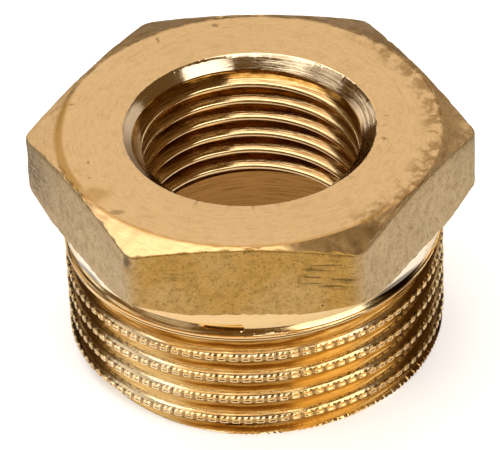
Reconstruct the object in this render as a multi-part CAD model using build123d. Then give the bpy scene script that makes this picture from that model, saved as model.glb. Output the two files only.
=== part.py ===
from build123d import *
import math
import os

# Reducing hex bushing, turned from brass hexagon bar: one piece, one solid.
# Millimetres. +Z runs up the axis. The origin is the middle of the face at the male end.

# Head
head_height = 7.0
across_flats = 34.0
corner_radius = 1.5            # rolled vertical edges of the hexagon bar
top_land_diameter = 33.2       # flat ring on top, inside the turned chamfer
top_chamfer_angle = 16.0       # below the top face, in degrees
under_land_diameter = 35.2     # flat ring under the head
under_chamfer_angle = 30.0

# Male end: a 1 inch parallel pipe thread
male_length = 14.0
male_major_diameter = 33.249
male_threads_per_inch = 11
male_groove_height = 0.69      # middle of the lowest groove, above the male end
male_end_chamfer = 0.5
collar_height = 1.8            # plain ring between the head and the relief
relief_width = 0.8             # groove that the threading tool runs out into
relief_diameter = 30.2

# Female end: bored for a 1/2 inch parallel pipe thread, whose crests lie on this bore
female_length = 12.0           # from the top face down to the cavity
female_bore_diameter = 18.631
mouth_diameter = 21.9          # 45 degree countersink at the top face

# Cavity bored from the male end
cavity_diameter = 25.0
cavity_step_angle = 59.0       # half angle of the cone that the boring tool leaves
cavity_end_chamfer = 0.6

# Whitworth form: 55 degree flanks, depth and flats in proportion to the pitch
inch = 25.4
flank_angle = 27.5
depth_per_pitch = 0.640327
flat_per_pitch = 1 / 6

cutter_overlap = 0.5           # how far each cutter stands clear of the metal

# Worked out from the sizes above
total_height = male_length + head_height
male_radius = male_major_diameter / 2
male_pitch = inch / male_threads_per_inch
male_root_radius = male_radius - depth_per_pitch * male_pitch
collar_underside = male_length - collar_height
relief_underside = collar_underside - relief_width


def tan_deg(angle):
    return math.tan(math.radians(angle))


def turned(points):
    """Solid of revolution about Z from (radius, height) points."""
    return revolve(Plane.XZ * make_face(Polyline(*points, close=True)), Axis.Z)


def groove_half_width(clearance):
    """Half the width of a thread groove, at a clearance outside the crests."""
    flank_rise = (male_radius + clearance - male_root_radius) * tan_deg(flank_angle)
    return flat_per_pitch * male_pitch / 2 + flank_rise


def thread_groove(height):
    """One turn of the male thread's groove, as a ring cutter."""
    root_half = flat_per_pitch * male_pitch / 2
    open_half = groove_half_width(cutter_overlap)
    open_radius = male_radius + cutter_overlap
    return turned([
        (male_root_radius, height - root_half),
        (male_root_radius, height + root_half),
        (open_radius, height + open_half),
        (open_radius, height - open_half),
    ])


def make_head():
    """Hexagon bar with rolled edges, chamfered by turning above and below."""
    hexagon = RegularPolygon(across_flats / 2, 6, major_radius=False)
    section = fillet(hexagon.vertices(), corner_radius)
    bar = extrude(Pos(0, 0, male_length) * section, head_height)
    top_land = top_land_diameter / 2
    under_land = under_land_diameter / 2
    outside = across_flats
    under_rise = (outside - under_land) * tan_deg(under_chamfer_angle)
    top_drop = (outside - top_land) * tan_deg(top_chamfer_angle)
    turned_outline = turned([
        (0, male_length),
        (under_land, male_length),
        (outside, male_length + under_rise),
        (outside, total_height - top_drop),
        (top_land, total_height),
        (0, total_height),
    ])
    return bar & turned_outline


def make_male_end():
    """Turned spigot with its end chamfer, thread grooves, tool relief and collar."""
    relief_radius = relief_diameter / 2
    spigot = turned([
        (0, 0),
        (male_radius - male_end_chamfer, 0),
        (male_radius, male_end_chamfer),
        (male_radius, relief_underside),
        (relief_radius, relief_underside),
        (relief_radius, collar_underside),
        (male_radius, collar_underside),
        (male_radius, male_length),
        (0, male_length),
    ])
    highest = relief_underside - groove_half_width(0)
    turns = math.ceil((highest - male_groove_height) / male_pitch)
    return spigot - [thread_groove(male_groove_height + turn * male_pitch) for turn in range(turns)]


def make_bore():
    """Everything cut out along the axis: mouth, female bore, cone and cavity."""
    mouth_radius = mouth_diameter / 2
    female_radius = female_bore_diameter / 2
    cavity_radius = cavity_diameter / 2
    female_bottom = total_height - female_length
    cone_height = (cavity_radius - female_radius) / tan_deg(cavity_step_angle)
    return turned([
        (0, 0),
        (cavity_radius + cavity_end_chamfer, 0),
        (cavity_radius, cavity_end_chamfer),
        (cavity_radius, female_bottom - cone_height),
        (female_radius, female_bottom),
        (female_radius, total_height - (mouth_radius - female_radius)),
        (mouth_radius, total_height),
        (0, total_height),
    ])


hex_bushing = make_head() + make_male_end() - make_bore()

os.makedirs("parts", exist_ok=True)
export_step(hex_bushing, "parts/hex_bushing.step")
print("hex_bushing", "volume", round(hex_bushing.volume), "mm3, height", total_height, "mm")
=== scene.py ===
# Reducing hex bushing in brass: a pipe thread outside, a smaller one inside, a spanner hexagon on top.
import bmesh
import bpy
import math
import numpy as np
from mathutils import Matrix, Vector


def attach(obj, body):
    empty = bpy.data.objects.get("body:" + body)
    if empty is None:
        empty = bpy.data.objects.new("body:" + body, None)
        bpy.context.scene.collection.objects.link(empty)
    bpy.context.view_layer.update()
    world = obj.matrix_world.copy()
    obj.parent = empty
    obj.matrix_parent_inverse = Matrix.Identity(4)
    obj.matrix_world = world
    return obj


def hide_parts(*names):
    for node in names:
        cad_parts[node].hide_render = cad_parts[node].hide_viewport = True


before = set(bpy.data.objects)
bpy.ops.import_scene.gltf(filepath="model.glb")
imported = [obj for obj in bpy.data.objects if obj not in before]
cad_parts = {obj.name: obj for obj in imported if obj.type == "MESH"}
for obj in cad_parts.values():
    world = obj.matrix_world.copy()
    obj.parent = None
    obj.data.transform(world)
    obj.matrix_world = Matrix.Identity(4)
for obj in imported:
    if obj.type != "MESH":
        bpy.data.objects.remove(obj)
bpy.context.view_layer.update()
print("frame loaded")

mm = 0.001
fullTurn = 2 * math.pi


def linear(hexColour):
    # sRGB hex to the linear colour that a shader takes
    parts = [int(hexColour[i:i + 2], 16) / 255 for i in (1, 3, 5)]
    return tuple(c / 12.92 if c <= 0.04045 else ((c + 0.055) / 1.055) ** 2.4 for c in parts) + (1.0,)


# The bushing's shape, in millimetres and degrees. Angles run from +X towards +Y, so the front is at -90.
bushing = {
    "headTop": 21.0,
    "headUnder": 14.0,
    "acrossFlats": 34.0,
    "cornerRadius": 1.5,
    "landRadius": 16.6,        # flat ring on top, inside the turned chamfer
    "landSlope": 16.0,
    "landRows": (11.02, 12.6, 14.4, 15.8, 16.52),     # radii of the mesh's rows on the flat ring
    "underRadius": 17.6,
    "underSlope": 30.0,
    "filletReach": 0.12,       # how far the corner under the head reaches out from the collar
    "edgeRadius": 0.13,        # how far the hexagon's edges are worn round
    "wear": {"upperEdge": (0.3, 0.55, 1.8), "lowerEdge": (0.5, 0.4, 2.5)},   # unevenness, least and greatest share
    "coneWaves": 0.02,         # how uneven the chamfer and the flats are
    "sideWaves": 0.014,
    "knockSeed": 11,
    "smallKnocks": 46,
    "smallReach": (0.7, 1.5),
    "smallDepth": (0.03, 0.16),
    "bigKnocks": [(-94.8, 1.0, 0.16), (-88.5, 1.6, 0.2), (-65.2, 1.8, 0.3), (-62.5, 1.0, 0.2), (-55.5, 1.2, 0.28),
                  (-47, 0.9, 0.2), (-22, 1.0, 0.34), (-36, 1.2, 0.25), (-118, 1.2, 0.2), (-148, 1.0, 0.2),
                  (-158, 1.6, 0.14), (12, 1.2, 0.2), (48, 1.5, 0.2)],     # angle, reach, depth
    "collarUnder": 12.2,
    "reliefUnder": 11.42,
    "reliefRadius": 15.1,
    "reliefRows": [(15.6, 0.66), (15.95, 0.55), (16.07, 0.4)],     # radius, and height above reliefUnder
    "sliverRows": [(16.1, 0.36), (16.16, 0.28)],
    "runOut": (-120.0, -91.2, 0.42),  # the thread's tool has cut into the collar here: angles, greatest height
    "sliver": (-104.5, -91.2, 0.32),  # thin end of the thread left standing in the relief: angles, height
    "spigotRadius": 16.6245,
    "spigotChamfer": 0.5,
    "spigotPitch": 25.4 / 11,
    "spigotCrest": (8.8, -86.92),     # height of one crest, and the angle at which it has that height
    "lip": (0.1, 0.9),         # the thread's top edge is broken over this height, at this slope
    "boreRadius": 9.3155,
    "borePitch": 25.4 / 14,
    "boreCrest": (18.67, 93.08),
    "boreEnd": 9.0,
    "mouthRadius": 10.95,
    "mouthBurr": 0.06,
    "mouthDepth": 1.7,         # the countersink has met the thread by this depth
    "cavityRadius": 12.5,
    "cavityChamfer": 0.6,
    "cavityStep": 59.0,
    "cavityRows": (5.5, 4.0, 2.2),    # heights of the mesh's rows on the cavity's wall
    "notchCount": 99,          # notches rolled across the crests, which hold the sealing hemp
    "notchAngle": -85.5,       # the middle of one notch
    "notchHalf": 0.27,         # half its width, as a share of the spacing
    "notchDepth": 0.17,
    "notchVariety": (0.75, 1.15),     # least and greatest depth, as a share of notchDepth
    "notchSeed": 7,
    "notchTop": 9.9,           # no notches above this height
    "notchFade": 0.3,
    "dimpleDepth": 0.07,       # hollow in the middle of the block between two notches
    "dimpleReach": (0.32, 0.1),       # along the crest as a share of the spacing, and across it
    "endTeeth": (-100.0, -8.0, 0.13),     # the roller also bit the end's edge, twice as finely: angles, depth
    "endTeethTop": 0.75,
    "endTeethFade": (10, 0.1),        # degrees and height over which they fade out
    "endToothHalf": 0.3,       # half a tooth's width, as a share of the spacing
    "endRows": (0.36, 0.22, 0.1, 0.03),      # heights of the mesh's rows on the end's edge
    "faceRows": (14.4, 13.8),  # radii of the mesh's rows on the end face
    "sharpAngle": 34,          # edges that turn more than this look sharp
}

# Distance from the middle of a crest against radius, from crest to root: 55 degree flanks, rounded as cut.
spigotForm = [(0.0, 16.59), (0.07, 16.6245), (0.19, 16.6), (0.22, 16.47), (0.38, 16.33), (0.52, 16.09),
              (0.97, 15.237), (1.1546, 15.145)]
boreForm = [(0.0, 9.3155), (0.1, 9.321), (0.17, 9.366), (0.215, 9.43),
            (0.7236, 10.4075), (0.8, 10.4655), (0.9072, 10.4775)]

# Uneven surfaces: the finest number of waves in a turn, how many waves are added up, and the seed
uneven = {
    "upperEdge": (60, 30, 8),
    "side": (34, 40, 9),
    "mouthRim": (190, 60, 10),
    "cone": (70, 40, 12),
    "lowerEdge": (150, 50, 13),
}

shares = np.array([0.0, 0.13, 0.27, 0.5, 0.73, 0.87])    # where the columns of the mesh stand within one notch
fineAngles = ((np.arange(bushing["notchCount"])[:, None] + shares[None, :]) / bushing["notchCount"] * fullTurn
              + math.radians(bushing["notchAngle"])).ravel()
coarseAngles = fineAngles[::3]


def waves(angles, heights, kind):
    # Uneven surface: the mean of cosines cos(m * angle + k * height + phase), with m whole and m, k, phase seeded.
    finest, count, seed = uneven[kind]
    rng = np.random.default_rng(seed)
    total = np.zeros(np.broadcast(angles, heights).shape)
    for i in range(count):
        around = rng.integers(1, finest)
        along = rng.uniform(-1, 1) * finest / bushing["acrossFlats"] * 2
        total = total + np.cos(around * angles + along * heights + rng.uniform(0, fullTurn))
    return total / math.sqrt(count / 2)


def signedDegrees(angles):
    return (np.degrees(angles) + 180) % 360 - 180


def crestDistance(heights, angles, pitch, crest):
    # Distance along the axis to the nearest crest of a right-hand helix, which climbs one pitch in each turn
    shift = heights - crest[0] - pitch * (angles - math.radians(crest[1])) / fullTurn
    return np.abs((shift + pitch / 2) % pitch - pitch / 2)


def threadRadius(heights, angles, form, pitch, crest):
    # Radius of a thread: the form, read at the distance to the nearest crest
    away = crestDistance(heights, angles, pitch, crest)
    return np.interp(away, [p[0] for p in form], [p[1] for p in form])


def spigotRadius(heights, angles):
    # The least of the thread, the end chamfer, the broken top edge and the notches. A notch is a V across the crest:
    # its depth falls in a straight line to nothing at its half width. A dimple falls off in the same way from the
    # middle of a block, along the crest and across it, and so does each of the fine teeth on the end's edge.
    b = bushing
    lipHeight, lipSlope = b["lip"]
    radius = threadRadius(heights, angles, spigotForm, b["spigotPitch"], b["spigotCrest"])
    radius = np.minimum(radius, b["spigotRadius"] - b["spigotChamfer"] + heights)
    radius = np.minimum(radius, b["spigotRadius"] - np.maximum(heights - b["reliefUnder"] + lipHeight, 0) * lipSlope)

    place = (angles - math.radians(b["notchAngle"])) / fullTurn * b["notchCount"]
    number = np.round(place)
    rng = np.random.default_rng(b["notchSeed"])
    variety = rng.uniform(*b["notchVariety"], b["notchCount"])[number.astype(int) % b["notchCount"]]
    notched = np.clip((b["notchTop"] - heights) / b["notchFade"], 0, 1)
    depth = b["notchDepth"] * variety * np.clip(1 - np.abs(place - number) / b["notchHalf"], 0, 1) * notched
    along, across = b["dimpleReach"]
    away = crestDistance(heights, angles, b["spigotPitch"], b["spigotCrest"])
    dimple = np.clip(1 - (0.5 - np.abs(place - number)) / along, 0, 1) * np.clip(1 - away / across, 0, 1)
    radius = np.minimum(radius - b["dimpleDepth"] * dimple * notched, b["spigotRadius"] - depth)

    start, end, bite = b["endTeeth"]
    turnFade, heightFade = b["endTeethFade"]
    turn = signedDegrees(angles)
    fromTooth = np.abs(2 * place - np.round(2 * place))
    bitten = np.clip((turn - start) / turnFade, 0, 1) * np.clip((end - turn) / turnFade, 0, 1)
    bitten = np.clip((b["endTeethTop"] - heights) / heightFade, 0, 1) * bitten
    return radius - bite * np.clip(1 - fromTooth / b["endToothHalf"], 0, 1) * bitten


def boreRadius(heights, angles):
    # The greater of the thread, the mouth's 45 degree countersink and the cone down to the cavity
    b = bushing
    radius = threadRadius(heights, angles, boreForm, b["borePitch"], b["boreCrest"])
    return np.maximum(radius, np.maximum(mouthCone(heights), stepCone(heights)))


def mouthCone(heights):
    return bushing["mouthRadius"] - (bushing["headTop"] - heights)


def stepCone(heights):
    return bushing["boreRadius"] + (bushing["boreEnd"] - heights) * math.tan(math.radians(bushing["cavityStep"]))


def hexRadius(angles):
    # Radius of a hexagon with round corners: flat / cos(angle from the flat's middle), and near a corner the far
    # side of a circle of the corner radius.
    flat = bushing["acrossFlats"] / 2
    corner = bushing["cornerRadius"]
    sixth, half = math.radians(60), math.radians(30)
    centre = (flat - corner) / math.cos(half)
    fromCorner = (angles + half) % sixth - half
    fromFlat = half - np.abs(fromCorner)
    reach = np.maximum(corner ** 2 - (centre * np.sin(fromCorner)) ** 2, 0)
    rounded = centre * np.cos(fromCorner) + np.sqrt(reach)
    switch = math.atan2(corner * math.sin(half), centre + corner * math.cos(half))
    return np.where(np.abs(fromCorner) < switch, rounded, flat / np.cos(fromFlat))


# Patches of surface, which are joined into one closed skin at the end
patches = {"points": [], "faces": [], "slots": [], "count": 0}
drawn, faced, threaded, bored = 0, 1, 2, 3      # material slots of the bushing


def loopAt(angles, radius, height):
    # One closed loop: (radius * cos(angle), radius * sin(angle), height)
    radius = np.broadcast_to(radius, angles.shape)
    height = np.broadcast_to(height, angles.shape)
    return np.stack([radius * np.cos(angles), radius * np.sin(angles), height], axis=-1)


def addPatch(points, faces, slot):
    patches["points"].append(points)
    patches["faces"] += (faces + patches["count"]).tolist()
    patches["slots"] += [slot] * len(faces)
    patches["count"] += len(points)


def addLoops(loops, slot):
    # Surface through closed loops: point i of each loop is joined to point i of the next
    points = np.stack(loops)
    rows, columns = points.shape[:2]
    index = np.arange(rows * columns).reshape(rows, columns)
    after = np.roll(index, -1, axis=1)
    faces = np.stack([index[:-1], after[:-1], after[1:], index[1:]], axis=-1).reshape(-1, 4)
    addPatch(points.reshape(-1, 3), faces, slot)


def addStep(fine, coarse, slot):
    # Strip from a loop to one with a third of its points: each three edges outside meet one edge inside
    count = len(coarse)
    j = np.arange(count)
    a, b, c = 3 * j, 3 * j + 1, 3 * j + 2
    d = (3 * j + 3) % (3 * count)
    inner, innerNext = 3 * count + j, 3 * count + (j + 1) % count
    points = np.concatenate([fine, coarse])
    addPatch(points, np.stack([a, b, inner], axis=-1), slot)
    addPatch(np.zeros((0, 3)), np.stack([b, c, innerNext, inner], axis=-1) - len(points), slot)
    addPatch(np.zeros((0, 3)), np.stack([c, d, innerNext], axis=-1) - len(points), slot)


def addHelix(angles, radiusOf, form, pitch, crest, low, high, slot):
    # Threaded surface: height = crest + pitch * (turns + angle / full turn) + distance along the form, held between
    # low and high, so that each row of the mesh runs along the thread; radius = radiusOf(height, angle).
    around = np.append(angles, angles[0] + fullTurn)
    low = np.append(low, low[0])
    high = np.append(high, high[0])
    steps = np.array([p[0] for p in form])
    offsets = np.concatenate([-steps[::-1], steps[1:-1]])
    first = math.floor((low.min() - crest[0]) / pitch) - 2
    last = math.ceil((high.max() - crest[0]) / pitch) + 2
    rowHeights = (crest[0] + pitch * np.arange(first, last)[:, None] + offsets[None, :]).ravel()
    heights = rowHeights[:, None] + pitch * (around - math.radians(crest[1]))[None, :] / fullTurn
    heights = np.clip(heights, low[None, :], high[None, :])
    radius = radiusOf(heights, around[None, :])
    points = np.stack([radius * np.cos(around), radius * np.sin(around), heights], axis=-1)
    rows, columns = heights.shape
    index = np.arange(rows * columns).reshape(rows, columns)
    faces = np.stack([index[:-1, :-1], index[:-1, 1:], index[1:, 1:], index[1:, :-1]], axis=-1)
    tall = (heights[1:] - heights[:-1]) > 1e-6
    keep = tall[:, :-1] | tall[:, 1:]
    addPatch(points.reshape(-1, 3), faces[keep], slot)


def meeting(angles, heights, form, pitch, crest, cone):
    # The first of these heights at which the thread reaches out past the cone, at each angle
    past = threadRadius(heights[:, None], angles[None, :], form, pitch, crest) >= cone(heights)[:, None]
    return heights[past.argmax(axis=0)]


def wornRadius(angles, height, kind):
    # Radius of a worn edge: the edge radius * (1 + unevenness * waves), held between two shares of the edge radius
    unevenness, least, greatest = bushing["wear"][kind]
    return bushing["edgeRadius"] * np.clip(1 + unevenness * waves(angles, height, kind), least, greatest)


def knockedEdge(angles):
    # Radius of the head's upper edge: the worn edge, and the knocks. A knock adds depth * (1 - (away / reach) ** 2)
    # for angles within its reach.
    b = bushing
    edge = wornRadius(angles, 0.0, "upperEdge")
    rng = np.random.default_rng(b["knockSeed"])
    places = rng.uniform(-math.pi, math.pi, b["smallKnocks"])
    reaches = rng.uniform(*b["smallReach"], b["smallKnocks"])
    depths = rng.uniform(*b["smallDepth"], b["smallKnocks"])
    knocks = np.concatenate([np.stack([np.degrees(places), reaches, depths], axis=1), np.array(b["bigKnocks"])])
    away = (np.degrees(angles)[:, None] - knocks[:, 0] + 180) % 360 - 180
    return edge + (knocks[:, 2] * np.clip(1 - (away / knocks[:, 1]) ** 2, 0, 1)).max(axis=1)


def buildHead():
    # Rows at each angle: flat land, cone, worn edge, flat, worn edge, under chamfer, underside
    b = bushing
    angles = fineAngles
    outline = hexRadius(angles)
    top, under = b["headTop"], b["headUnder"]
    landSlope, underSlope = math.radians(b["landSlope"]), math.radians(b["underSlope"])
    edge = knockedEdge(angles)

    def topCone(radius):
        return top - np.maximum(radius - b["landRadius"], 0) * math.tan(landSlope)

    def underCone(radius):
        return under + np.maximum(radius - b["underRadius"], 0) * math.tan(underSlope)

    land = [loopAt(angles, r, top) for r in b["landRows"]]
    coneStart = b["landRadius"] + 0.06
    for share in (0.0, 0.2, 0.4, 0.6, 0.8, 1.0):
        radius = coneStart + (outline - edge - coneStart) * share
        dent = b["coneWaves"] * waves(angles, share * 3, "cone") * 4 * share * (1 - share)
        land += [loopAt(angles, radius, topCone(radius) + dent)]
    addLoops(land, faced)

    centre = topCone(outline - edge) - edge / math.cos(landSlope)
    side = [land[-1]]
    for bend in (74, 50, 25, 0):
        side += [loopAt(angles, outline - edge + edge * math.cos(math.radians(bend)),
                        centre + edge * math.sin(math.radians(bend)))]
    lowEdge = wornRadius(angles, 1.0, "lowerEdge")
    beyond = outline - lowEdge > b["underRadius"]
    tilt = np.where(beyond, underSlope, 0.0)
    lower = underCone(outline - lowEdge) + lowEdge / np.cos(tilt)
    for share in np.linspace(0, 1, 13)[1:-1]:
        height = centre + (lower - centre) * share
        bulge = b["sideWaves"] * waves(angles, height, "side") * math.sin(math.pi * share)
        side += [loopAt(angles, outline + bulge, height)]
    for share in (0.0, 0.35, 0.7, 1.0):
        bend = -(math.pi / 2 - tilt) * share
        side += [loopAt(angles, outline - lowEdge + lowEdge * np.cos(bend), lower + lowEdge * np.sin(bend))]
    addLoops(side, drawn)

    inner = np.minimum(outline - lowEdge, b["underRadius"])
    belly = [side[-1], loopAt(angles, inner, under)]
    fillet = b["spigotRadius"] + b["filletReach"]
    belly += [loopAt(angles, inner + (fillet - inner) * share, under) for share in (0.5, 1.0)]
    addLoops(belly, threaded)
    return land[0], belly[-1]


def buildSpigot(startLoop):
    # Collar, relief, thread and end face. Each row is one radius and height all round, but for the thread, the cut
    # into the collar and the sliver in the relief.
    b = bushing
    angles = fineAngles
    r, u, inner, top = b["spigotRadius"], b["reliefUnder"], b["reliefRadius"], b["headUnder"]
    turn = signedDegrees(angles)
    start, end, most = b["runOut"]
    cut = b["collarUnder"] + most * np.clip((turn - start) / (end - start), 0, 1) * (turn < end)
    start, end, most = b["sliver"]
    fin = most * np.clip((turn - start) / 2, 0, 1) * np.clip((end - turn) / 0.7, 0, 1)
    fillet = [(r + 0.035, top - 0.035), (r, top - 0.12)]
    collar = [(r, top - 0.9), (r, cut + 0.09), (r - 0.03, cut + 0.025), (r - 0.1, cut), (inner + 0.1, cut)]
    relief = [(inner, b["collarUnder"] - 0.05)] + [(radius, u + rise) for radius, rise in b["reliefRows"]]
    sliver = [(radius + fin, u + rise) for radius, rise in b["sliverRows"]] + [(16.2, u + 0.24), (r - 0.24, u + 0.01)]
    rows = [loopAt(angles, radius, height) for radius, height in fillet + collar + relief + sliver]
    addLoops([startLoop] + rows, threaded)

    lip = [loopAt(angles, spigotRadius(u - down, angles), u - down) for down in (0.0, 0.03, 0.06, b["lip"][0])]
    addLoops([rows[-1]] + lip, threaded)
    low = np.full(len(angles), b["spigotChamfer"] + 0.05)
    high = np.full(len(angles), u - b["lip"][0])
    addHelix(angles, spigotRadius, spigotForm, b["spigotPitch"], b["spigotCrest"], low, high, threaded)

    heights = (low[0], b["spigotChamfer"], *b["endRows"])
    end = [loopAt(angles, spigotRadius(np.full(len(angles), h), angles), h) for h in heights]
    rim = spigotRadius(np.zeros(len(angles)), angles) - 0.03
    outer, middle = b["faceRows"]
    end += [loopAt(angles, rim, 0.0), loopAt(angles, outer, 0.0)]
    addLoops(end, threaded)
    addStep(end[-1], loopAt(coarseAngles, middle, 0.0), threaded)


def buildBore(startLoop):
    # Countersink, thread, step and cavity
    b = bushing
    top = b["headTop"]
    burrGlint = b["mouthBurr"] * np.clip(waves(fineAngles, 0.0, "mouthRim") - 0.6, 0, 1.6)
    descending = np.linspace(top, top - b["mouthDepth"], 1700)
    upper = meeting(fineAngles, descending, boreForm, b["borePitch"], b["boreCrest"], mouthCone)
    rim = [startLoop, loopAt(fineAngles, b["mouthRadius"] + 0.03 + burrGlint, top - 0.004),
           loopAt(fineAngles, b["mouthRadius"] - 0.05 + burrGlint * 0.5, top - 0.06)]
    for share in (0.2, 0.4, 0.6, 0.8, 1.0):
        height = top - 0.06 + (upper + 0.03 - top + 0.06) * share
        rim += [loopAt(fineAngles, boreRadius(height, fineAngles), height)]
    addLoops(rim[:2], faced)
    addLoops(rim[1:], bored)
    upper = upper[::3]
    addStep(rim[-1], loopAt(coarseAngles, boreRadius(upper, coarseAngles), upper), bored)

    slope = math.tan(math.radians(b["cavityStep"]))
    bottom = b["boreEnd"] - (b["cavityRadius"] - b["boreRadius"]) / slope
    ascending = np.linspace(bottom, b["boreEnd"], 1900)
    lower = meeting(coarseAngles, ascending, boreForm, b["borePitch"], b["boreCrest"], stepCone)
    addHelix(coarseAngles, boreRadius, boreForm, b["borePitch"], b["boreCrest"], lower, upper, bored)

    step = [loopAt(coarseAngles, boreRadius(lower + (bottom - lower) * share, coarseAngles),
                   lower + (bottom - lower) * share) for share in (0.0, 0.5, 1.0)]
    for height in (*b["cavityRows"], b["cavityChamfer"]):
        step += [loopAt(coarseAngles, b["cavityRadius"], height)]
    step += [loopAt(coarseAngles, b["cavityRadius"] + b["cavityChamfer"], 0.0),
             loopAt(coarseAngles, b["faceRows"][-1], 0.0)]
    addLoops(step, bored)


def joinPatches(name):
    # One mesh from all patches: points that meet are merged, which also closes the seams and drops empty faces
    mesh = bpy.data.meshes.new(name)
    points = np.concatenate(patches["points"]) * mm
    mesh.from_pydata(points, [], patches["faces"])
    mesh.polygons.foreach_set("material_index", np.array(patches["slots"], dtype=np.int32))
    work = bmesh.new()
    work.from_mesh(mesh)
    bmesh.ops.remove_doubles(work, verts=work.verts, dist=1e-6)
    bmesh.ops.dissolve_degenerate(work, edges=work.edges, dist=1e-7)
    bmesh.ops.recalc_face_normals(work, faces=work.faces)
    openEdges = sum(1 for e in work.edges if len(e.link_faces) != 2)
    work.to_mesh(mesh)
    work.free()
    mesh.shade_smooth()
    mesh.set_sharp_from_angle(angle=math.radians(bushing["sharpAngle"]))
    piece = bpy.data.objects.new(name, mesh)
    bpy.context.scene.collection.objects.link(piece)
    mesh.calc_loop_triangles()
    print(name, "triangles", len(mesh.loop_triangles), "open edges", openEdges)
    return piece


landLoop, bellyLoop = buildHead()
buildSpigot(bellyLoop)
buildBore(landLoop)
body = joinPatches("turnedBushing")
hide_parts("hex_bushing")
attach(body, "root")


def addNode(tree, kind, settings=None, links=None):
    # Adds a node. A setting is one of its properties or, by name or number, the value of one of its inputs.
    node = tree.nodes.new(kind)
    for key, value in (settings or {}).items():
        if isinstance(key, str) and hasattr(node, key):
            setattr(node, key, value)
        else:
            node.inputs[key].default_value = value
    for key, source in (links or {}).items():
        tree.links.new(source, node.inputs[key])
    return node


def newMaterial(name):
    material = bpy.data.materials.new(name)
    material.use_nodes = True
    material.node_tree.nodes.clear()
    return material, material.node_tree


def measurePlace(tree):
    # Where a point is, in millimetres: the place, and its three parts
    texture = addNode(tree, "ShaderNodeTexCoord")
    place = addNode(tree, "ShaderNodeMapping", {"Scale": (1000, 1000, 1000)},
                    {"Vector": texture.outputs["Object"]}).outputs[0]
    return place, addNode(tree, "ShaderNodeSeparateXYZ", None, {0: place}).outputs


def measureFromAxis(tree, place):
    # A point's distance from the axis, and its direction from the axis as a vector of length 1
    level = addNode(tree, "ShaderNodeVectorMath", {"operation": "MULTIPLY", 1: (1, 1, 0)}, {0: place}).outputs[0]
    radius = addNode(tree, "ShaderNodeVectorMath", {"operation": "LENGTH"}, {0: level}).outputs["Value"]
    outward = addNode(tree, "ShaderNodeVectorMath", {"operation": "NORMALIZE"}, {0: level}).outputs[0]
    return radius, outward


def mask(tree, *limits):
    # Product of any number of limits, 0 to 1, that says where a finish shows. A limit is (value,), taken as it is;
    # (value, start, end), a smooth step from 0 at the start to 1 at the end; (value, start, end, low, high), with
    # other results at its ends; or (share, most), which lets a share from 0 to 1 reach no more than that.
    total = None
    for value, *step in limits:
        if step:
            start, end, low, high = {1: [0.0, 1.0, 0.0, *step], 2: [*step, 0.0, 1.0], 4: step}[len(step)]
            value = addNode(tree, "ShaderNodeMapRange", {"interpolation_type": "SMOOTHSTEP", "From Min": start,
                                                         "From Max": end, "To Min": low, "To Max": high},
                            {"Value": value}).outputs[0]
        if total is not None:
            value = addNode(tree, "ShaderNodeMath", {"operation": "MULTIPLY"}, {0: total, 1: value}).outputs[0]
        total = value
    return total


def tint(tree, under, colour, *limits):
    # The colour below, a hex value or a node's colour, turned to another as far as the mask of these limits says
    settings, links = {"data_type": "RGBA", 7: linear(colour)}, {0: mask(tree, *limits)}
    if isinstance(under, str):
        settings[6] = linear(under)
    else:
        links[6] = under
    return addNode(tree, "ShaderNodeMix", settings, links).outputs[2]


def toolMarks(tree, outward, level, spacing, turns):
    # Noise drawn out round the axis: it changes over one spacing in the level, and a few times in a turn
    around = addNode(tree, "ShaderNodeVectorMath", {"operation": "SCALE", "Scale": turns}, {0: outward}).outputs[0]
    step = addNode(tree, "ShaderNodeMath", {"operation": "DIVIDE", 1: spacing}, {0: level}).outputs[0]
    lifted = addNode(tree, "ShaderNodeCombineXYZ", None, {"Z": step}).outputs[0]
    vector = addNode(tree, "ShaderNodeVectorMath", {"operation": "ADD"}, {0: around, 1: lifted}).outputs[0]
    return addNode(tree, "ShaderNodeTexNoise", {"Scale": 1.0, "Detail": 3.0, "Roughness": 0.6},
                   {"Vector": vector}).outputs[0]


def wobble(tree, place, grain, amount):
    # The place, shifted by noise, so that a spot drawn from it has a ragged edge
    noise = addNode(tree, "ShaderNodeTexNoise", {"Scale": 1 / grain, "Detail": 4.0, "Roughness": 0.65},
                    {"Vector": place}).outputs["Color"]
    middle = addNode(tree, "ShaderNodeVectorMath", {"operation": "SUBTRACT", 1: (0.5, 0.5, 0.5)}, {0: noise}).outputs[0]
    shift = addNode(tree, "ShaderNodeVectorMath", {"operation": "SCALE", "Scale": amount}, {0: middle}).outputs[0]
    return addNode(tree, "ShaderNodeVectorMath", {"operation": "ADD"}, {0: place, 1: shift}).outputs[0]


def spots(tree, place, soft, *ellipsoids):
    # 1 inside any of these ellipsoids, each its centre and half sizes, falling to 0 over their soft outer share
    total = None
    for centre, reach in ellipsoids:
        away = addNode(tree, "ShaderNodeVectorMath", {"operation": "SUBTRACT", 1: centre}, {0: place}).outputs[0]
        scaled = addNode(tree, "ShaderNodeVectorMath", {"operation": "DIVIDE", 1: reach}, {0: away}).outputs[0]
        far = addNode(tree, "ShaderNodeVectorMath", {"operation": "LENGTH"}, {0: scaled}).outputs["Value"]
        spot = mask(tree, (far, 1.0, 1.0 - soft))
        if total is not None:
            spot = addNode(tree, "ShaderNodeMath", {"operation": "MAXIMUM"}, {0: total, 1: spot}).outputs[0]
        total = spot
    return total


def pitting(tree, place, spacing, size):
    # Pits of many sizes, at random in cells of one spacing: most cells have none
    cells = addNode(tree, "ShaderNodeTexVoronoi", {"Scale": 1 / spacing}, {"Vector": place})
    chance = addNode(tree, "ShaderNodeSeparateColor", None, {0: cells.outputs["Color"]}).outputs[0]
    weighed = addNode(tree, "ShaderNodeMath", {"operation": "ADD"},
                      {0: cells.outputs["Distance"], 1: chance}).outputs[0]
    return mask(tree, (weighed, size * 1.25, size * 0.75))


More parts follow.
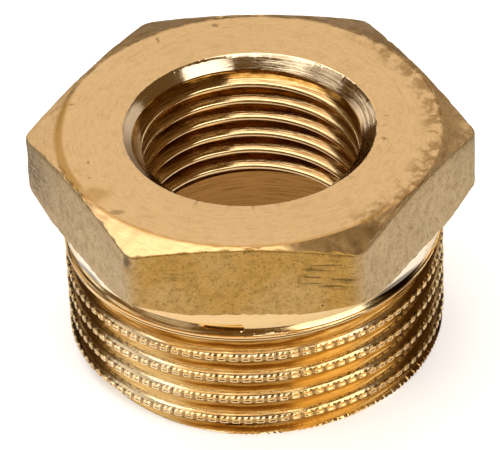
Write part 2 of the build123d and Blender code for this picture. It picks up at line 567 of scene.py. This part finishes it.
def shadeBrass(tree, colour, rough, relief, depth):
    # Brass with a colour, a roughness and a relief: depth is the height of that relief in millimetres
    bump = addNode(tree, "ShaderNodeBump", {"Strength": 1.0, "Distance": depth * mm}, {"Height": relief}).outputs[0]
    shader = addNode(tree, "ShaderNodeBsdfPrincipled", {"Metallic": 1.0},
                     {"Base Color": colour, "Roughness": rough, "Normal": bump})
    addNode(tree, "ShaderNodeOutputMaterial", None, {"Surface": shader.outputs[0]})


# In each look, the sizes and places are in millimetres. A spot is its centre and its half sizes.
drawnLook = {
    "dull": "#B49B72",
    "gold": "#B48D4B",         # painted reflection: the front flat alone is a warmer gold, for the warm light it reflects
    "pale": "#CDB284",
    "olive": "#8C6E36",
    "stain": "#4A3A20",
    "speck": "#3A2C18",
    "broad": 5.0,
    "mottle": 0.8,
    "grain": 0.22,
    "pits": (0.8, 0.17),       # spacing and size
    "cornerKnock": ((-18.6, -1.6, 17.6), (3.2, 4.4, 3.6)),
    "smudge": ((-10.0, -17.0, 19.6), (0.75, 0.75, 1.1)),
    "leftScuff": ((-5.9, -17.0, 18.4), (2.2, 1.0, 1.5)),
    "rightScuff": ((7.1, -17.0, 18.2), (3.4, 1.0, 2.0)),
    "rough": (0.42, 0.56),
    "relief": 0.014,           # height of the relief
}


def drawnBrass():
    # Hexagon bar as it came from the die: dull, a little oxidised, with a fine grain and pits. It takes a broad soft
    # sheen with no clear reflection. Scratches run up the corner that was knocked, and scuffs lie along the front.
    look = drawnLook
    material, tree = newMaterial("drawnBrass")
    place, parts = measurePlace(tree)
    broad = addNode(tree, "ShaderNodeTexNoise", {"Scale": 1 / look["broad"], "Detail": 3.0},
                    {"Vector": place}).outputs[0]
    mottle = addNode(tree, "ShaderNodeTexNoise", {"Scale": 1 / look["mottle"], "Detail": 5.0, "Roughness": 0.65},
                     {"Vector": place}).outputs[0]
    grain = addNode(tree, "ShaderNodeTexNoise", {"Scale": 1 / look["grain"], "Detail": 3.0, "Roughness": 0.7},
                    {"Vector": place}).outputs[0]
    pits = pitting(tree, place, *look["pits"])
    streakSpace = addNode(tree, "ShaderNodeMapping", {"Rotation": (0.5, 0.5, 0.0), "Scale": (1.0, 1.0, 3.2)},
                          {"Vector": place}).outputs[0]
    streaks = addNode(tree, "ShaderNodeTexNoise", {"Scale": 1.3, "Detail": 4.0, "Roughness": 0.7},
                      {"Vector": streakSpace}).outputs[0]
    knocked = mask(tree, (spots(tree, place, 0.7, look["cornerKnock"]),), (streaks, 0.48, 0.57))
    smudge = spots(tree, wobble(tree, place, 1.6, 1.2), 0.6, look["smudge"])
    scuffSpace = addNode(tree, "ShaderNodeMapping", {"Scale": (0.3, 0.3, 5.0)}, {"Vector": place}).outputs[0]
    scuffs = addNode(tree, "ShaderNodeTexNoise", {"Scale": 1.0, "Detail": 3.0}, {"Vector": scuffSpace}).outputs[0]
    scuffed = addNode(tree, "ShaderNodeMath", {"operation": "MAXIMUM"},
                      {0: mask(tree, (spots(tree, place, 0.8, look["leftScuff"]), 0.45)),
                       1: spots(tree, place, 0.5, look["rightScuff"])}).outputs[0]
    rubbed = mask(tree, (scuffs, 0.5, 0.57), (scuffed,))

    beside = addNode(tree, "ShaderNodeMath", {"operation": "ABSOLUTE"}, {0: parts[0]}).outputs[0]
    betweenCorners, onFront = (beside, 10.3, 8.4), (parts[1], 0.5, -0.5)
    # Painted reflection: the front flat, between its two corners, is coloured a warmer gold than the other flats.
    base = tint(tree, look["dull"], look["gold"], betweenCorners, onFront)
    base = tint(tree, base, look["pale"], (broad, 0.42, 0.75, 0.0, 0.3))
    base = tint(tree, base, look["olive"], (mottle, 0.44, 0.66, 0.0, 0.5))
    base = tint(tree, base, look["stain"], (grain, 0.5, 0.76, 0.0, 0.6))
    for mark, most in ((pits, 0.8), (knocked, 0.62), (smudge, 0.7), (rubbed, 0.62)):
        base = tint(tree, base, look["speck"], (mark, most))
    rough = mask(tree, (grain, 0.3, 0.7, *look["rough"]))
    relief = addNode(tree, "ShaderNodeMath", {"operation": "SUBTRACT"}, {0: grain, 1: pits}).outputs[0]
    relief = addNode(tree, "ShaderNodeMath", {"operation": "SUBTRACT"}, {0: relief, 1: knocked}).outputs[0]
    shadeBrass(tree, base, rough, relief, look["relief"])
    return material


facedLook = {
    "satin": "#DAB27C",
    "light": "#E2BD88",
    "dull": "#B08E58",
    "honey": "#C08C3C",
    "mustard": "#AD8136",
    "grime": "#8A6430",
    "dirt": "#6A4E24",
    "line": "#6B5228",
    "burrGlint": "#FBEBC4",
    "turning": 0.2,            # spacing of the tool's rings
    "fleck": 0.3,
    "cloud": 1.3,
    "broad": 6.0,
    "pits": (0.9, 0.1),        # spacing and size
    "burrGlints": (0.9, 0.16),
    "lineRadius": 16.55,       # where the brown line runs
    "crescent": ((-15.8, -3.6, 21.0), (2.8, 11.0, 3.0)),
    "blot": ((-12.9, -9.2, 21.0), (1.9, 1.7, 2.0)),
    "darkBlot": ((-10.8, -11.6, 21.0), (1.1, 0.45, 1.0)),
    "frontSoil": ((9.5, -16.0, 20.5), (7.5, 3.4, 2.0)),
    "marks": [((-15.3, 3.5, 21.0), (0.5, 0.2, 0.8)), ((-13.8, -4.6, 21.0), (0.25, 0.3, 0.8)),
              ((11.5, 0.2, 21.0), (0.5, 0.1, 0.8)), ((11.6, -1.6, 21.0), (0.35, 0.2, 0.8)),
              ((11.7, 1.6, 21.0), (0.45, 0.08, 0.8)), ((-8.5, 13.1, 21.0), (0.15, 0.7, 0.8)),
              ((-3.4, 15.2, 21.0), (0.5, 0.4, 0.8)), ((-13.4, -7.0, 21.0), (0.2, 0.15, 0.8))],
    "rough": (0.27, 0.36),
    "dirtRough": 0.16,         # how much rougher it is where dirt lies
    "relief": 0.006,
}


def facedBrass():
    # Face and chamfer, turned in a lathe: satin, with fine rings from the tool. Oil has dried to a brown line where
    # the chamfer starts, and handling has soiled the chamfer on one side.
    look = facedLook
    material, tree = newMaterial("facedBrass")
    place, parts = measurePlace(tree)
    radius, outward = measureFromAxis(tree, place)
    ragged = wobble(tree, place, 2.0, 1.6)
    turning = toolMarks(tree, outward, radius, look["turning"], 9)
    fleck = addNode(tree, "ShaderNodeTexNoise", {"Scale": 1 / look["fleck"], "Detail": 3.0, "Roughness": 0.7},
                    {"Vector": place}).outputs[0]
    cloud = addNode(tree, "ShaderNodeTexNoise", {"Scale": 1 / look["cloud"], "Detail": 5.0, "Roughness": 0.7},
                    {"Vector": place}).outputs[0]
    broad = addNode(tree, "ShaderNodeTexNoise", {"Scale": 1 / look["broad"], "Detail": 3.0},
                    {"Vector": place}).outputs[0]
    pits = pitting(tree, place, *look["pits"])
    fromLine = addNode(tree, "ShaderNodeMath", {"operation": "SUBTRACT", 1: look["lineRadius"]}, {0: radius}).outputs[0]
    fromLine = addNode(tree, "ShaderNodeMath", {"operation": "ABSOLUTE"}, {0: fromLine}).outputs[0]
    onCone = (radius, 16.5, 16.75)
    front, back, farBack = (parts[1], -7.0, -11.0), (parts[1], -3.0, 2.0), (parts[1], 3.0, 8.0, 0.0, 0.75)
    right, farRight = (parts[0], 1.0, 5.0), (parts[0], 6.0, 12.0)
    soiled = mask(tree, onCone, right, (cloud, 0.62, 0.36))
    frontCone = mask(tree, onCone, (spots(tree, ragged, 0.4, look["frontSoil"]),))
    crescent = mask(tree, (fromLine, 0.6, 0.12), (spots(tree, ragged, 0.5, look["crescent"]),))
    inward = mask(tree, (fromLine, 2.6, 0.3), farRight, (cloud, 0.38, 0.6))

    base = tint(tree, look["satin"], look["light"], (broad,))
    base = tint(tree, base, look["dull"], (turning, 0.5, 0.75, 0.0, 0.4))
    base = tint(tree, base, look["dull"], (fleck, 0.5, 0.75, 0.0, 0.4))
    base = tint(tree, base, look["dull"], (cloud, 0.5, 0.7, 0.0, 0.22))
    base = tint(tree, base, look["honey"], (fromLine, 0.34, 0.05), front, (cloud, 0.3, 0.6, 0.2, 0.6))
    base = tint(tree, base, look["line"], (fromLine, 0.22, 0.06), back, (cloud, 0.35, 0.6, 0.25, 0.9))
    base = tint(tree, base, look["mustard"], (crescent, 0.75))
    base = tint(tree, base, look["mustard"], (spots(tree, ragged, 0.8, look["blot"]), 0.5))
    base = tint(tree, base, look["dirt"], (spots(tree, ragged, 0.6, look["darkBlot"]), 0.45))
    base = tint(tree, base, look["dull"], onCone, farBack)
    base = tint(tree, base, look["grime"], (inward, 0.7))
    base = tint(tree, base, look["dirt"], (soiled, 0.54))
    base = tint(tree, base, look["dirt"], (frontCone, 0.76))
    # Painted highlight: bright glints of burrs, as specks on the front right of the chamfer.
    base = tint(tree, base, look["burrGlint"], (frontCone,), (pitting(tree, place, *look["burrGlints"]),))
    base = tint(tree, base, look["line"], (spots(tree, ragged, 0.7, *look["marks"]), 0.6))
    base = tint(tree, base, look["line"], (pits, 0.4))
    dirty = addNode(tree, "ShaderNodeMath", {"operation": "MAXIMUM"}, {0: soiled, 1: frontCone}).outputs[0]
    rough = addNode(tree, "ShaderNodeMath", {"operation": "ADD"},
                    {0: mask(tree, (turning, 0.3, 0.7, *look["rough"])),
                     1: mask(tree, (dirty, look["dirtRough"]))}).outputs[0]
    relief = addNode(tree, "ShaderNodeMath", {"operation": "MULTIPLY_ADD", 1: 0.5}, {0: fleck, 2: turning}).outputs[0]
    relief = addNode(tree, "ShaderNodeMath", {"operation": "MULTIPLY_ADD", 1: -2.0}, {0: pits, 2: relief}).outputs[0]
    crust = mask(tree, (dirty,), (cloud,))
    relief = addNode(tree, "ShaderNodeMath", {"operation": "MULTIPLY_ADD", 1: 9.0}, {0: crust, 2: relief}).outputs[0]
    shadeBrass(tree, base, rough, relief, look["relief"])
    return material


threadLook = {
    "bright": "#EECC90",
    "crest": "#DDBC88",
    "root": "#D6AE66",
    "brown": "#80561E",
    "shadeBrown": "#36260E",
    "sideShadeColour": "#8A6430",
    "line": "#946828",
    "paintedHighlight": "#FBEBC4",
    "gold": "#F6CC7C",
    "collarSheen": "#EADCC4",
    "turning": 0.2,            # spacing of the tool's marks
    "cloud": 1.1,
    "fleck": 0.2,
    "highlightBand": ((-9.8, -13.0, 3.5), (6.8, 6.2, 9.0)),
    "warm": ((7.0, -15.0, 3.5), (5.0, 5.0, 9.0)),
    "sideShade": (((-16.6, -1.0, 5.0), (6.6, 12.0, 22.0)), ((16.6, -1.0, 5.0), (7.3, 13.2, 22.0))),
    "reliefShade": (((13.4, -9.8, 11.95), (4.6, 6.2, 0.8)), ((-15.6, -4.6, 11.95), (3.0, 6.0, 0.7))),
    "collarSheenSides": (((13.6, -9.6, 13.3), (3.4, 4.6, 1.6)), ((-13.4, -9.8, 13.3), (3.2, 4.2, 1.6))),
    "collarShade": (((12.6, -10.8, 12.2), (3.8, 4.8, 0.75)), ((-13.9, -9.0, 12.2), (2.4, 3.4, 0.8))),
    "rough": (0.11, 0.2),
    "relief": 0.012,
}


def threadedBrass():
    # Outside thread and collar, freshly cut: near mirror bright with lines from the tool, paler on the crests. Painted
    # shade darkens the roots, the relief, the collar's lower edge and both sides; the gaps between the rolled blocks
    # are darker brown. Painted highlights lie under the crests, on the front left and on the collar's sides.
    look = threadLook
    material, tree = newMaterial("threadedBrass")
    place, parts = measurePlace(tree)
    radius, outward = measureFromAxis(tree, place)
    upright = toolMarks(tree, outward, parts[2], look["turning"], 3)
    sloping = toolMarks(tree, outward, radius, look["turning"], 2.5)
    cloud = addNode(tree, "ShaderNodeTexNoise", {"Scale": 1 / look["cloud"], "Detail": 5.0, "Roughness": 0.7},
                    {"Vector": place}).outputs[0]
    fleck = addNode(tree, "ShaderNodeTexNoise", {"Scale": 1 / look["fleck"], "Detail": 3.0},
                    {"Vector": place}).outputs[0]
    onCollar = (parts[2], bushing["collarUnder"] - 0.2, bushing["collarUnder"] - 0.1)
    belowRelief = (parts[2], bushing["reliefUnder"] + 0.03, bushing["reliefUnder"] - 0.07)
    onCrest, belowCrest, onFlank = (radius, 16.5, 16.6), (radius, 16.5, 16.4), (radius, 16.5, 16.3)
    inRoot, deepInRoot = (radius, 16.2, 15.5), (radius, 15.6, 15.25, 0.0, 0.6)
    # Painted shade: dark bands on both sides of the thread, near its outline.
    sideShade = spots(tree, place, 0.3, *look["sideShade"])
    # Distance from the nearest notch, as a share of the spacing. Numbering from 200 keeps every number above 0.
    turn = addNode(tree, "ShaderNodeMath", {"operation": "ARCTAN2"}, {0: parts[1], 1: parts[0]}).outputs[0]
    perRadian = bushing["notchCount"] / fullTurn
    first = 200 - math.radians(bushing["notchAngle"]) * perRadian
    number = addNode(tree, "ShaderNodeMath", {"operation": "MULTIPLY_ADD", 1: perRadian, 2: first},
                     {0: turn}).outputs[0]
    away = addNode(tree, "ShaderNodeMath", {"operation": "PINGPONG", 1: 0.5}, {0: number}).outputs[0]
    between = mask(tree, (away, 0.24, 0.12), (radius, 16.36, 16.44),
                   (parts[2], bushing["notchTop"], bushing["notchTop"] - bushing["notchFade"]))

    base = tint(tree, look["bright"], look["crest"], onCrest)
    base = tint(tree, base, look["crest"], onCollar, (radius, 16.3, 16.5))
    # Painted shade: the roots are darker, below the relief.
    base = tint(tree, base, look["root"], belowRelief, inRoot)
    base = tint(tree, base, look["line"], belowRelief, onFlank, (sloping, 0.48, 0.58, 0.0, 0.8))
    # Painted highlight: a cream line along the upper flank, just under each crest.
    base = tint(tree, base, look["paintedHighlight"], (radius, 16.56, 16.4), (sloping, 0.5, 0.4, 0.0, 0.7))
    # Painted highlight: a broad cream band over the thread on the front left.
    base = tint(tree, base, look["paintedHighlight"], (spots(tree, place, 0.7, look["highlightBand"]), 0.6))
    base = tint(tree, base, look["gold"], (spots(tree, place, 0.6, look["warm"]), 0.6))
    # Painted shade: deeper in the roots, below the relief, a darker brown.
    base = tint(tree, base, look["brown"], belowRelief, deepInRoot)
    # Painted shade: a darker colour on both sides, below the relief and under the crests.
    base = tint(tree, base, look["sideShadeColour"], (sideShade,), belowRelief, (*belowCrest, 0.0, 0.8))
    # Painted shade: dark patches in the relief groove, on the right front and on the left.
    base = tint(tree, base, look["shadeBrown"], (spots(tree, place, 0.4, *look["reliefShade"]),), belowCrest)
    # Painted reflection: the collar's sides, left and right of the front, are paler.
    base = tint(tree, base, look["collarSheen"], (spots(tree, place, 0.4, *look["collarSheenSides"]),), onCollar,
                (radius, 16.5, 16.55))
    # Painted shade: dark patches on the collar's lower edge, on the right front and the left front.
    base = tint(tree, base, look["shadeBrown"], (spots(tree, place, 0.6, *look["collarShade"]), 0.85))
    base = tint(tree, base, look["brown"], (between, 0.75))
    # Painted shade: the gaps between the blocks are darkest on both sides.
    base = tint(tree, base, look["shadeBrown"], (between,), (sideShade, 0.8))
    base = tint(tree, base, look["brown"], (cloud, 0.58, 0.78, 0.0, 0.6))
    rough = mask(tree, (fleck, 0.3, 0.7, *look["rough"]))
    relief = addNode(tree, "ShaderNodeMath", {"operation": "MULTIPLY_ADD", 1: 0.12}, {0: fleck, 2: upright}).outputs[0]
    relief = addNode(tree, "ShaderNodeMath", {"operation": "ADD"}, {0: relief, 1: sloping}).outputs[0]
    shadeBrass(tree, base, rough, relief, look["relief"])
    return material


boreLook = {
    "crest": "#F0D4A0",
    "bright": "#E4C28C",
    "root": "#B27F30",
    "line": "#7A4E1A",
    "brown": "#70460F",
    "wall": "#A87A42",
    "mouth": "#E6D0AC",
    "turning": 0.11,           # spacing of the tool's marks
    "cloud": 1.2,
    "fleck": 0.2,
    "scoured": ((-10.4, -2.5, 20.5), (3.0, 8.0, 1.6)),
    "rough": (0.07, 0.15),
    "cavityRough": 0.14,       # how much rougher the cavity is, and the scoured side of the countersink
    "scouredRough": 0.3,
    "relief": 0.006,
}


def boredBrass():
    # Countersink, inside thread and cavity, cut by single tools: mirror bright lines, darker brown in the
    # roots. The cavity is rougher, and so is one side of the countersink.
    look = boreLook
    material, tree = newMaterial("boredBrass")
    place, parts = measurePlace(tree)
    radius, outward = measureFromAxis(tree, place)
    upright = toolMarks(tree, outward, parts[2], look["turning"], 3)
    sloping = toolMarks(tree, outward, radius, look["turning"], 2.5)
    cloud = addNode(tree, "ShaderNodeTexNoise", {"Scale": 1 / look["cloud"], "Detail": 4.0, "Roughness": 0.65},
                    {"Vector": place}).outputs[0]
    fleck = addNode(tree, "ShaderNodeTexNoise", {"Scale": 1 / look["fleck"], "Detail": 3.0},
                    {"Vector": place}).outputs[0]
    mouthStart = bushing["headTop"] - 1.0
    onMouth = (parts[2], mouthStart - 0.2, mouthStart)
    inCavity = (parts[2], bushing["boreEnd"], bushing["boreEnd"] - 0.6)
    inThread = mask(tree, (parts[2], bushing["boreEnd"] - 0.4, bushing["boreEnd"] + 0.2),
                    (parts[2], mouthStart, mouthStart - 0.2))
    inGroove = mask(tree, (inThread,), (radius, 9.6, 10.2))
    streaked = mask(tree, onMouth, (parts[0], -2.0, 4.0))

    base = tint(tree, look["crest"], look["bright"], (radius, 9.36, 9.5))
    base = tint(tree, base, look["line"], (inThread,), (radius, 9.4, 9.6), (sloping, 0.42, 0.6, 0.1, 0.85))
    base = tint(tree, base, look["root"], (inGroove, 0.8))
    base = tint(tree, base, look["brown"], (inGroove,), (cloud, 0.42, 0.64, 0.0, 0.7))
    base = tint(tree, base, look["wall"], inCavity)
    base = tint(tree, base, look["line"], inCavity, (upright, 0.5, 0.62, 0.0, 0.6))
    base = tint(tree, base, look["mouth"], onMouth)
    base = tint(tree, base, look["line"], (streaked,), (upright, 0.46, 0.58, 0.0, 0.6))
    rough = addNode(tree, "ShaderNodeMath", {"operation": "ADD"},
                    {0: mask(tree, (upright, 0.3, 0.7, *look["rough"])),
                     1: mask(tree, (*inCavity, 0.0, look["cavityRough"]))}).outputs[0]
    scoured = spots(tree, place, 0.4, look["scoured"])
    rough = addNode(tree, "ShaderNodeMath", {"operation": "MULTIPLY_ADD", 1: look["scouredRough"]},
                    {0: scoured, 2: rough}).outputs[0]
    relief = addNode(tree, "ShaderNodeMath", {"operation": "MULTIPLY_ADD", 1: 0.3}, {0: fleck, 2: upright}).outputs[0]
    for marks in (mask(tree, (inThread,), (sloping,)), mask(tree, (streaked, 3.0), (upright,))):
        relief = addNode(tree, "ShaderNodeMath", {"operation": "ADD"}, {0: relief, 1: marks}).outputs[0]
    shadeBrass(tree, base, rough, relief, look["relief"])
    return material


for finish in (drawnBrass, facedBrass, threadedBrass, boredBrass):
    body.data.materials.append(finish())
print("brass finishes ready")


# The studio, in metres: X to the camera's right, Y away from it, Z up
studio = {
    "floorColour": "#F4F4F2",
    "floorSize": 1.6,
    "floorLevel": -0.00002,    # a hair below the end face, so that the two don't lie in one plane
    "tableGlow": 0.47,         # the table is lit from below as well
    "worldColour": "#D8A868",
    "worldStrength": 0.2,
    "flagColour": "#2A1C10",
    "flagSize": (0.04, 0.015),
    "flagDistance": 0.045,
    "flagBearings": {"leftFlag": -118, "rightFlag": 118},      # degrees from the camera's side, to the right
}

# Soft lights: place, the point that each faces, width, height and glow
softboxes = {
    "overheadBox": ((-0.11, 0.026, 0.4), (-0.11, 0.026, 0), 0.39, 0.468, 2.2),
    "sideBox": ((0.28, -0.29, 0.32), (0, 0, 0.02), 0.32, 0.36, 2.2),
    "backBox": ((0, 0.58, 0.4), (0, 0, 0.02), 0.8, 0.38, 0.94),
    "leftBox": ((-0.36, -0.01, 0.3), (0, 0, 0.01), 0.17, 0.14, 0.8),
    "leftFrontBox": ((-0.36, -0.24, 0.36), (0, 0, 0.01), 0.24, 0.2, 0.4),
    "rightLowBox": ((0.51, 0.29, 0.115), (0, 0, 0.02), 0.5, 0.22, 1.15),
    "leftLowBox": ((-0.51, 0.29, 0.115), (0, 0, 0.02), 0.5, 0.22, 0.9),
}

cameraSet = {
    "turn": 3.081,             # degrees about the axis, from straight in front of a flat
    "elevation": 38.042,
    "roll": -2.426,
    "distance": 0.4,
    "aim": (-0.318, 0.0, 10.358),     # millimetres, before the turn
    "lens": 328.6,
}


def makeSheet(name, corners, materialName, settings):
    # One flat face with a plain material
    mesh = bpy.data.meshes.new(name)
    mesh.from_pydata(corners, [], [(0, 1, 2, 3)])
    sheet = bpy.data.objects.new(name, mesh)
    bpy.context.scene.collection.objects.link(sheet)
    material, tree = newMaterial(materialName)
    shader = addNode(tree, "ShaderNodeBsdfPrincipled", settings)
    addNode(tree, "ShaderNodeOutputMaterial", None, {"Surface": shader.outputs[0]})
    mesh.materials.append(material)
    return sheet


def makeFloor():
    # White paper, matte, which glows a little because the table below it is lit
    half, level = studio["floorSize"] / 2, studio["floorLevel"]
    corners = [(-half, -half, level), (half, -half, level), (half, half, level), (-half, half, level)]
    floor = makeSheet("paperFloor", corners, "mattePaper",
                      {"Base Color": linear(studio["floorColour"]), "Roughness": 0.9, "Specular IOR Level": 0.2,
                       "Emission Color": (1, 1, 1, 1), "Emission Strength": studio["tableGlow"]})


def blackFlag(name, bearing):
    # A black board on the table, seen only in the metal's reflections: it draws dark bands on the sides of the thread.
    turn = math.radians(bearing + cameraSet["turn"])
    width, height = studio["flagSize"]
    middle = np.array([math.sin(turn), -math.cos(turn)]) * studio["flagDistance"]
    along = np.array([math.cos(turn), math.sin(turn)]) * width / 2
    ends = (middle - along, middle + along)
    corners = [(*ends[0], 0), (*ends[1], 0), (*ends[1], height), (*ends[0], height)]
    flag = makeSheet(name, corners, "blackFelt", {"Base Color": linear(studio["flagColour"]), "Roughness": 1.0,
                                                  "Specular IOR Level": 0.0})
    flag.visible_camera = flag.visible_diffuse = flag.visible_shadow = False


def softbox(name, place, aim, width, height, glow):
    # A flat light at a place, turned to face another. Glow is how bright its face looks: power = glow * pi * area.
    light = bpy.data.lights.new(name, "AREA")
    light.shape = "RECTANGLE"
    light.size, light.size_y, light.energy = width, height, glow * math.pi * width * height
    lamp = bpy.data.objects.new(name, light)
    spin = Matrix.Rotation(math.radians(cameraSet["turn"]), 4, "Z")
    facing = (Vector(aim) - Vector(place)).to_track_quat("-Z", "Y").to_matrix().to_4x4()
    lamp.matrix_world = spin @ Matrix.Translation(place) @ facing
    bpy.context.scene.collection.objects.link(lamp)


def makeCamera():
    # The camera looks at its aim from the elevation, rolled about that line, and all of it is turned about the axis
    elevation, roll, turn = (math.radians(cameraSet[k]) for k in ("elevation", "roll", "turn"))
    back = np.array([0, -math.cos(elevation), math.sin(elevation)])
    right = np.array([1.0, 0, 0])
    up = np.cross(back, right)
    across = math.cos(roll) * right + math.sin(roll) * up
    upward = -math.sin(roll) * right + math.cos(roll) * up
    place = np.array(cameraSet["aim"]) * mm + back * cameraSet["distance"]
    spin = np.array([[math.cos(turn), -math.sin(turn), 0], [math.sin(turn), math.cos(turn), 0], [0, 0, 1]])
    matrix = np.eye(4)
    matrix[:3] = np.stack([spin @ across, spin @ upward, spin @ back, spin @ place], axis=1)
    data = bpy.data.cameras.new("productCamera")
    data.sensor_fit = "HORIZONTAL"
    data.sensor_width = 36
    data.lens = cameraSet["lens"]
    data.clip_start = 0.01
    camera = bpy.data.objects.new("productCamera", data)
    camera.matrix_world = Matrix(matrix.tolist())
    bpy.context.scene.collection.objects.link(camera)
    bpy.context.scene.camera = camera


def makeWorld():
    world = bpy.data.worlds.new("studioRoom")
    world.use_nodes = True
    tree = world.node_tree
    tree.nodes.clear()
    glow = addNode(tree, "ShaderNodeBackground", {"Color": linear(studio["worldColour"]),
                                                  "Strength": studio["worldStrength"]})
    addNode(tree, "ShaderNodeOutputWorld", None, {"Surface": glow.outputs[0]})
    bpy.context.scene.world = world


makeFloor()
makeCamera()
makeWorld()
for name, bearing in studio["flagBearings"].items():
    blackFlag(name, bearing)
for name, values in softboxes.items():
    softbox(name, *values)
bpy.context.scene.view_settings.view_transform = "Standard"
print("studio ready")
